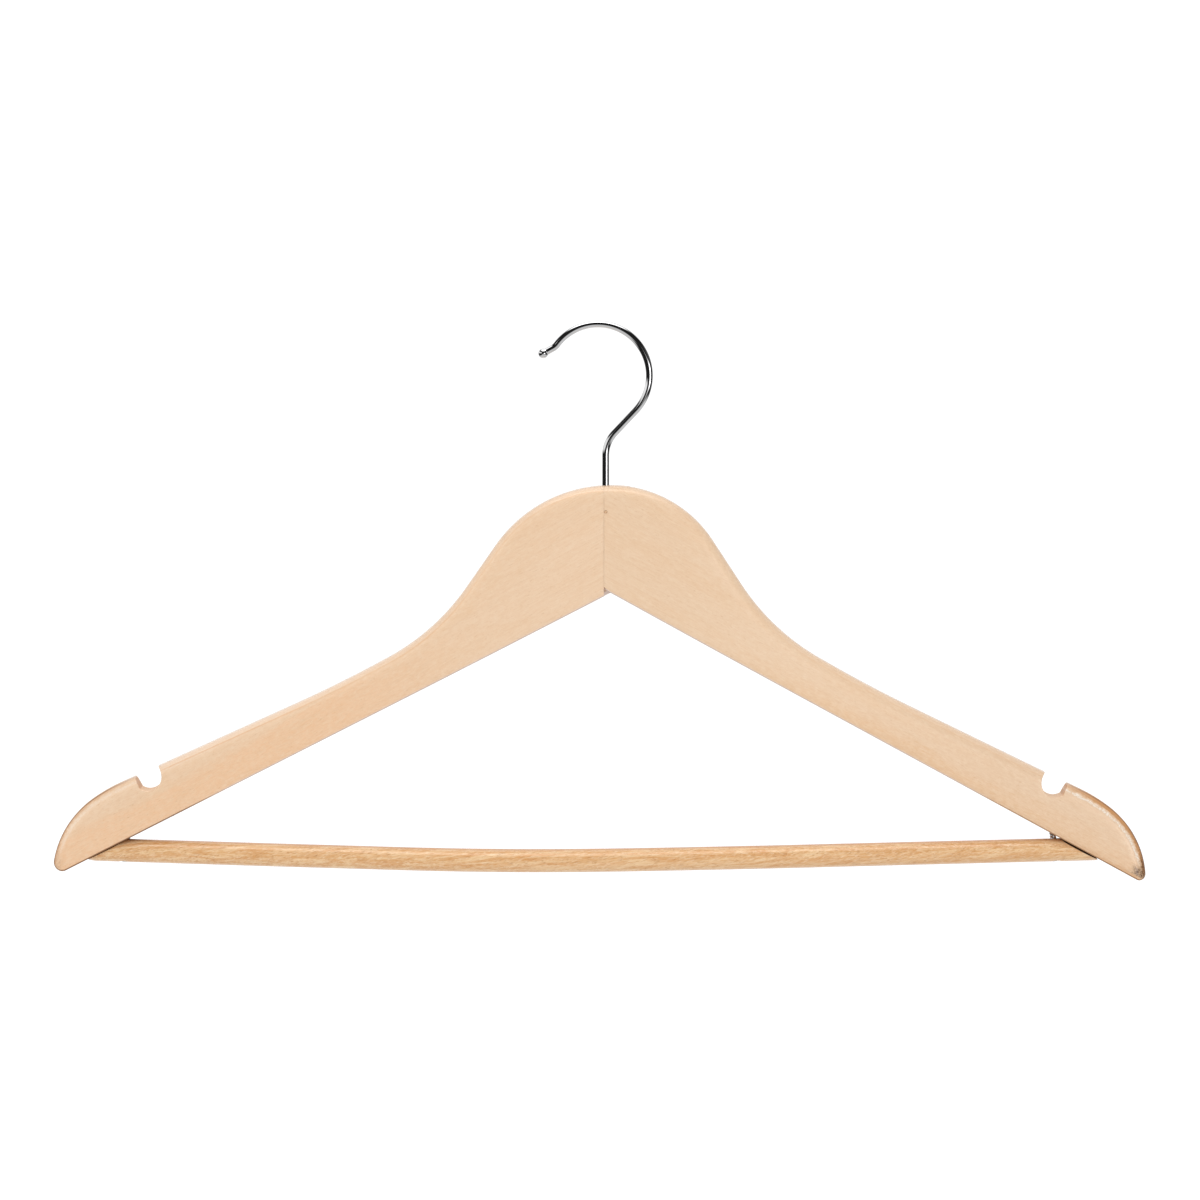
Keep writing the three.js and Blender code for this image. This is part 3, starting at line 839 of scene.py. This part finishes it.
def edge_highlights_and_shade(g, f, side, paint):
    """Painted highlight where the round-over begins, and painted shade in a thin darker line at
    the outer edge. Along the arm the upper edge has a pale painted highlight with a thin line
    inside it, and so has the lower one as far as the bar, where painted shade turns it dark."""
    # Painted highlight: a pale band where the round-over begins.
    edge_highlight = g.math("ABSOLUTE", g.math("SUBTRACT", f.ragged, HIGHLIGHT_DEPTH[side]))
    edge_highlight = g.times(g.range(edge_highlight, 0.75, 0.2), g.range(f.above_low, 3, 7))
    edge_highlight = g.times(edge_highlight, g.range(f.speckle, 0.35, 0.6, 0.1, 1))
    edge_highlight = g.times(edge_highlight, g.range(f.out, *HIGHLIGHT_OUT[side], 0, HIGHLIGHT_SHARE[side]))
    paint = g.mix(edge_highlight, paint, colour(254, 244, 232))
    # Painted shade: a thin darker line along the outline.
    paint = g.mix(g.range(f.ragged, 0.6, 0.1, 0, 0.25), paint, colour(206, 160, 122))

    low_edge = g.times(g.range(f.above_low, 5, 3), g.range(f.edge, 0.75, 0.25))
    # Painted highlight: the lower edge is paled from the middle out to near the bar.
    low_highlight = g.times(low_edge, g.range(f.out, 160, 140, 0, 0.85))
    paint = g.mix(low_highlight, paint, colour(248, 236, 230))
    # Painted shadow: the lower edge turns dark where it meets the bar.
    low_shade = g.times(low_edge, g.range(f.out, 145, 165, 0, LOW_SHADE[side]))
    paint = g.mix(low_shade, paint, colour(128, 88, 62))

    # Painted highlight: a pale band along the upper edge, with a thin warmer line inside it.
    high = g.times(g.range(f.above_low, 8, 14), g.range(f.out, 185, 165, 0, UPPER_HIGHLIGHT_SHARE[side]))
    high = g.times(high, g.range(f.out, 40, 90, 0.4, 1))
    upper_highlight = g.times(high, g.range(f.edge, HIGH_WIDTH, HIGH_WIDTH - 0.6))
    paint = g.mix(upper_highlight, paint, colour(252, 226, 202))
    from_line = g.math("ABSOLUTE", g.math("SUBTRACT", f.edge, HIGH_WIDTH))
    thin_line = g.times(high, g.range(from_line, 0.35, 0.1))
    return g.mix(thin_line, paint, colour(232, 178, 132))


def tip_tone_and_shade(g, f, side, paint):
    """The tip's edge is browned, its end grain's tone with a painted dark reflection, and its
    lower corner nearly blackened, sanding burn with a painted dark reflection; painted shade
    darkens its rim.
    """
    width = TIP_WIDTH[side]
    # The browned edge: the end grain's tone with a painted dark reflection.
    browned = g.range(f.ragged, width + 0.35, width - 0.35, 0, TIP_BROWN_AND_REFLECTION[side])
    browned = g.times(f.at_tip, browned, g.range(f.above_low, 1, 3, 0.3, 1))
    paint = g.mix(browned, paint, colour(204, 142, 82))

    # Sanding burn with a painted dark reflection nearly blackens the lower corner.
    depth = g.math("ADD", f.ragged, g.range(f.above_low, 3, 10, 0, 1.5))
    corner = g.times(g.range(f.above_low, 4.5, 2), g.range(f.out, 209, 212))
    burn_and_reflection = g.math("MAXIMUM", g.range(depth, 2.6, 1.3), corner)
    burn_and_reflection = g.times(burn_and_reflection, g.range(f.out, 207, 211, 0, TIP_BURN_AND_REFLECTION[side]))
    burn_and_reflection = g.times(burn_and_reflection, g.range(f.speckle, 0.35, 0.6, 0.3, 1), g.range(f.above_low, -0.3, 0.6))
    burn_and_reflection = g.times(burn_and_reflection, g.range(f.front, 0, 0.2, 0.4, 1))
    paint = g.mix(burn_and_reflection, paint, colour(84, 48, 22))
    # Painted shade: a dark rim by the faces at the tip.
    rim = g.times(g.range(f.edge, 0.6, 0.15, 0, 0.75), g.range(f.front, 0.05, 0.25, 0.15, 1))
    return g.mix(g.times(f.at_tip, rim), paint, colour(120, 76, 44))


def arm_wood(name, side, upper, lower, offset):
    """Pale fine-grained wood under satin lacquer. The grain runs along the arm, with end grain at
    the tip, and the lacquer is dull on the underside, in the notch and at the worn tip. Painted
    shade darkens the surfaces that face down."""
    g = Graph(new_material(name))
    f = arm_fields(g, side, offset)
    paint = plain_wood(g, f, side, upper, lower)
    paint = edge_highlights_and_shade(g, f, side, paint)
    paint = tip_tone_and_shade(g, f, side, paint)

    slope = math.radians(side * LOWER_ANGLE)
    along = g.facing((math.cos(slope), 0, -math.sin(slope)))
    paint = g.mix(g.range(along, 0.7, 1, 0, 0.3), paint, colour(196, 146, 100))
    # Painted shade: surfaces that face down are darker.
    under = g.range(f.up, -0.25, -0.9)
    paint = g.mix(g.times(under, 0.5), paint, colour(160, 112, 76))
    sawn = g.times(g.range(f.front, 0.5, 0.2), g.range(f.edge, 0.2, 0.9), g.range(f.out, 60, 100))
    sawn_wall = g.times(sawn, g.range(f.up, 0.8, 0.3, 0, 0.45))
    paint = g.mix(sawn_wall, paint, colour(196, 146, 104))

    worn = g.times(f.at_tip, g.range(f.edge, 1.2, 0.3))
    dull = g.math("MAXIMUM", g.math("MAXIMUM", under, sawn), worn)
    g.set(Base_Color=paint, Roughness=g.range(f.mottle, 0.3, 0.7, 0.4, 0.55))
    relief = g.math("ADD", f.fibres, g.times(f.flecks, -0.8))
    g.set(Normal=g.bump(relief, 0.00004, 0.5))
    g.set(Coat_Weight=g.range(dull, 0, 1, 1, 0.08))
    g.set(Coat_Roughness=g.range(f.speckle, 0.3, 0.7, 0.17, 0.25))
    g.set(Coat_Normal=g.bump(f.mottle, 0.00003, 0.18))
    g.set(Specular_IOR_Level=g.range(dull, 0, 1, 0.2, 0.05))
    return g.owner


WAVE_DRIFT = 6  # how far the bar's figure wanders off its grain


def bar_wood(name):
    """Golden, open-pored wood of the dowel: long slanted figure, and short brown pores. Painted
    shade makes it deeper in colour along the top and the underside, and its cut ends are dark: end
    grain under painted shade of the gaps below the arms."""
    g = Graph(new_material(name))
    grain = g.coords((0, 5, 0))
    wave = g.noise(g.stretch(g.coords(), (0.03, 0.05, 0.05)), 2)
    drift = {0: (0, 0, WAVE_DRIFT), 1: wave, 2: grain}
    wavy = g.node("ShaderNodeVectorMath", drift, operation="MULTIPLY_ADD")
    figure = g.noise(g.stretch(wavy, (0.016, 0.45, 0.6)), 3, 0.55, 1.2)
    rings = g.noise(g.stretch(wavy, (0.07, 1.3, 1.3), (3, 5, 1)), 3, 0.6, 0.8)
    slanted = g.coords((0, 14, 0))
    pores = g.noise(g.stretch(slanted, (0.5, 3.0, 3.0)), 2, 0.55)
    pale = g.noise(g.stretch(slanted, (0.34, 2.6, 2.6), (5, 1, 8)), 2, 0.6)
    fibres = g.noise(g.stretch(grain, (0.22, 4.5, 4.5)), 2, 0.6)
    presence = g.noise(g.stretch(grain, (0.03, 0.25, 0.25), (9, 2, 4)), 1)

    paint = g.mix(g.range(figure, 0.36, 0.64), colour(240, 201, 153), colour(219, 162, 103))
    paint = g.mix(g.range(rings, 0.45, 0.68, 0, 0.55), paint, colour(212, 144, 80))
    paint = g.mix(g.range(pale, 0.5, 0.68, 0, 0.55), paint, colour(249, 222, 184))
    paint = g.mix(g.range(fibres, 0.4, 0.7, 0, 0.4), paint, colour(247, 216, 174))
    dots = g.times(g.range(pores, 0.55, 0.68), g.range(presence, 0.3, 0.65, 0.35, 1))
    paint = g.mix(g.times(dots, 0.6), paint, colour(190, 124, 66))
    # Painted shade: deeper colour where the bar faces straight up or down.
    upright = g.math("ABSOLUTE", g.separate(g.object_normal())[2])
    paint = g.mix(g.range(upright, 0.88, 0.99, 0, 0.75), paint, colour(202, 132, 70))
    # The cut ends: end grain darkened with painted shade of the gaps under the arms.
    cut_end = g.range(g.facing((1, 0, 0)), 0.25, 0.4)
    paint = g.mix(g.times(cut_end, 0.9), paint, colour(84, 44, 16))
    g.set(Base_Color=paint, Roughness=g.range(rings, 0.3, 0.7, 0.36, 0.5))
    relief = g.math("ADD", fibres, g.times(dots, -1.5))
    g.set(Normal=g.bump(relief, 0.00006, 0.6))
    g.set(Coat_Weight=g.range(cut_end, 0, 1, 1, 0))
    g.set(Coat_Roughness=g.range(pale, 0.3, 0.7, 0.2, 0.1))
    g.set(Coat_Normal=g.bump(pale, 0.00004, 0.6))
    g.set(Specular_IOR_Level=g.range(cut_end, 0, 1, 0.2, 0))
    return g.owner


def chrome_plate(name):
    """Mirror-bright plate with faint haze and a few scuffs."""
    g = Graph(new_material(name))
    place = g.coords()
    scuffs = g.noise(g.stretch(place, (0.5, 0.5, 0.2)), 5, 0.65)
    haze = g.noise(g.stretch(place, (0.12, 0.12, 0.12)), 3)
    paint = g.mix(g.range(haze, 0.35, 0.7), (0.8, 0.8, 0.81, 1), (0.7, 0.7, 0.7, 1))
    g.set(Base_Color=paint, Metallic=1.0)
    spots = g.range(scuffs, 0.64, 0.8, 0, 0.06)
    g.set(Roughness=g.math("ADD", g.range(haze, 0.3, 0.7, 0.01, 0.03), spots))
    g.set(Normal=g.bump(haze, 0.00001, 0.1))
    return g.owner


def bare_steel(name):
    """Bright steel, drawn and turned: fine lines, dull patches and a warm film in places."""
    g = Graph(new_material(name))
    place = g.coords()
    lines = g.noise(g.stretch(place, (5, 5, 0.3)), 2, 0.6)
    haze = g.noise(g.stretch(place, (0.5, 0.5, 0.5)), 4, 0.6)
    g.set(Base_Color=g.mix(g.range(haze, 0.35, 0.7), (0.8, 0.82, 0.85, 1), (0.5, 0.47, 0.44, 1)))
    g.set(Metallic=1.0, Roughness=g.range(haze, 0.3, 0.7, 0.12, 0.3))
    g.set(Normal=g.bump(lines, 0.00002, 0.5))
    return g.owner


def filled_steel(name):
    """The brad's steel, with its head stopped over in a wood-coloured filler."""
    g = Graph(new_material(name))
    place = g.coords()
    speckle = g.noise(g.stretch(place, (2.5, 2.5, 2.5)), 3, 0.6)
    front = g.range(g.separate(place)[1], FACE_Y + 0.35, FACE_Y + 0.25)
    filler = g.mix(g.range(speckle, 0.5, 0.62), colour(233, 198, 160), colour(196, 148, 108))
    g.set(Base_Color=g.mix(front, (0.62, 0.62, 0.61, 1), filler))
    g.set(Metallic=g.range(front, 0, 1, 1, 0), Roughness=g.range(speckle, 0.3, 0.7, 0.35, 0.5))
    g.set(Normal=g.bump(speckle, 0.00003, 0.5))
    return g.owner


# ---- the object ----

# The left arm's colours are a little lighter: partly the wood's own difference, partly painted
# light making up for the key light's lean to the right.
ARM_COLOURS = {
    LEFT: (colour(239, 205, 171), colour(241, 197, 156)),
    RIGHT: (colour(236, 203, 169), colour(233, 193, 152)),
}
GRAIN_OFFSET = {LEFT: (0, 0, 0), RIGHT: (31, 17, 5)}
BAR_WOOD = bar_wood("bar_wood")
CHROME = chrome_plate("chrome")
STEEL = bare_steel("steel")
FILLED = filled_steel("filled_steel")


def finish_piece(obj, material, node, body):
    obj.data.materials.clear()
    obj.data.materials.append(material)
    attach(obj, body)
    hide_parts(node)


for side, word in ((LEFT, "left"), (RIGHT, "right")):
    wood = arm_wood(f"arm_wood_{word}", side, *ARM_COLOURS[side], GRAIN_OFFSET[side])
    arm = make_arm(side, f"{word}_arm_wood")
    finish_piece(arm, wood, f"{word}_arm", "hanger_body")
    screw = make_screw(side, f"{word}_screw_threaded")
    finish_piece(screw, STEEL, f"{word}_bar_screw", "hanger_body")
finish_piece(make_bar("trouser_bar_dowel"), BAR_WOOD, "trouser_bar", "hanger_body")
finish_piece(make_pin("hook_brad"), FILLED, "hook_pin", "hanger_body")
finish_piece(make_hook("hook_wire"), CHROME, "hook", "hook")

# ---- floor, light and camera ----

CENTRE = (CAD_LOW + CAD_HIGH) / 2


def make_floor():
    """A round pale studio floor well below the hanger."""
    radius, drop, segments = 1.0, 0.42, 96  # in metres
    z = CAD_LOW.z - drop
    turns = [2 * math.pi * i / segments for i in range(segments)]
    mesh = bpy.data.meshes.new("floor")
    points = [(radius * math.cos(t), radius * math.sin(t), z) for t in turns]
    mesh.from_pydata(points, [], [tuple(range(segments))])
    floor = bpy.data.objects.new("floor", mesh)
    bpy.context.scene.collection.objects.link(floor)
    g = Graph(new_material("floor_paint"))
    g.set(Base_Color=(0.93, 0.93, 0.93, 1), Roughness=0.7)
    mesh.materials.append(g.owner)
    floor.visible_glossy = False


def make_light(name, azimuth, elevation, distance, size, power):
    """A soft box that faces the hanger. Azimuth 0 is in front, and 90 at the right."""
    lamp = bpy.data.lights.new(name, "AREA")
    lamp.shape = "RECTANGLE"
    lamp.size, lamp.size_y = size
    lamp.energy = power
    obj = bpy.data.objects.new(name, lamp)
    bpy.context.scene.collection.objects.link(obj)
    a, e = math.radians(azimuth), math.radians(elevation)
    back = Vector((math.sin(a) * math.cos(e), -math.cos(a) * math.cos(e), math.sin(e)))
    obj.location = CENTRE + back * distance
    obj.rotation_euler = back.to_track_quat("Z", "Y").to_euler()
    obj.visible_camera = False
    obj.visible_glossy = False


# Brightness of the studio, as the camera sees it and as metal and lacquer mirror it.
WHITE_LEVEL = 1.15
DIM_LEVEL = 0.015
WALL_LEVEL = 0.95
CEILING_LEVEL = 1.2
FLOOR_LEVEL = 0.68
AMBIENT_ABOVE = 0.84  # what lights the wood from all round
AMBIENT_BELOW = 0.62
# (azimuths, heights, softness of the edge, brightness)
SOFT_BOXES = (
    ((-125, -37), (4, 27), 5, 1.0),
    ((10, 44), (-9, 4), 4, 1.2),
    ((26, 42), (-9, 6), 3, 4.6),
    ((-70, 70), (55, 80), 4, 3.0),
    ((50, 110), (-15, 30), 10, 0.07),
)


def make_world():
    """A white studio that lights the wood evenly. What bright metal and lacquer mirror is its
    plan: white above, below and behind, soft boxes at the left and overhead, a bright strip in
    front at the right, and the dim room round the camera."""
    world = bpy.data.worlds.new("studio")
    bpy.context.scene.world = world
    g = Graph(world, "Background")
    x, y, z = g.separate(g.nodes.new("ShaderNodeTexCoord").outputs["Generated"])
    azimuth = g.times(g.math("ARCTAN2", x, g.times(y, -1)), 180 / math.pi)
    height = g.times(g.math("ARCSINE", z), 180 / math.pi)
    aside = g.math("ABSOLUTE", azimuth)

    level = g.math("MAXIMUM", DIM_LEVEL, g.range(aside, 105, 150, 0, WALL_LEVEL))
    level = g.math("MAXIMUM", level, g.range(height, 50, 60, 0, CEILING_LEVEL))
    # The mirrored floor's edge: 18 degrees down in front, 36 at the left and 24 at the right.
    floor_edge = g.math("ADD", -26, g.range(azimuth, -45, -15, -10, 8))
    floor_edge = g.math("ADD", floor_edge, g.range(azimuth, 40, 70, 0, -6))
    below = g.math("SUBTRACT", floor_edge, height)
    level = g.math("MAXIMUM", level, g.range(below, -5, 7, 0, FLOOR_LEVEL))
    for box_azimuth, box_height, soft, brightness in SOFT_BOXES:
        part = brightness
        for value, (low, high) in ((azimuth, box_azimuth), (height, box_height)):
            past_low = g.range(value, low - soft, low + soft)
            part = g.times(part, past_low, g.range(value, high + soft, high - soft))
        level = g.math("MAXIMUM", level, part)

    light_path = g.nodes.new("ShaderNodeLightPath").outputs
    even = g.range(z, -1, 1, AMBIENT_BELOW, AMBIENT_ABOVE)
    level = g.node("ShaderNodeMix", {0: light_path["Is Glossy Ray"], 2: even, 3: level})
    level = g.node("ShaderNodeMix", {0: light_path["Is Camera Ray"], 2: level, 3: WHITE_LEVEL})
    g.set(Strength=level, Color=(1, 1, 1, 1))


make_floor()
make_world()
make_light("key", azimuth=20, elevation=35, distance=1.6, size=(1.1, 1.1), power=4.4)
make_light("fill", azimuth=-30, elevation=35, distance=1.6, size=(1.1, 1.1), power=4.4)

bpy.context.scene.view_settings.view_transform = "Standard"

TARGET = Vector((0.0008, 0, -0.1055))
DISTANCE = 1.8
ELEVATION = 4.5
PICTURE_WIDTH = 0.4656  # what the picture's width covers at the target

camera_data = bpy.data.cameras.new("camera")
camera = bpy.data.objects.new("camera", camera_data)
bpy.context.scene.collection.objects.link(camera)
camera_data.lens = camera_data.sensor_width * DISTANCE / PICTURE_WIDTH
elevation = math.radians(ELEVATION)
back = Vector((0, -math.cos(elevation), math.sin(elevation)))
camera.location = TARGET + back * DISTANCE
camera.rotation_euler = back.to_track_quat("Z", "Y").to_euler()
bpy.context.scene.camera = camera
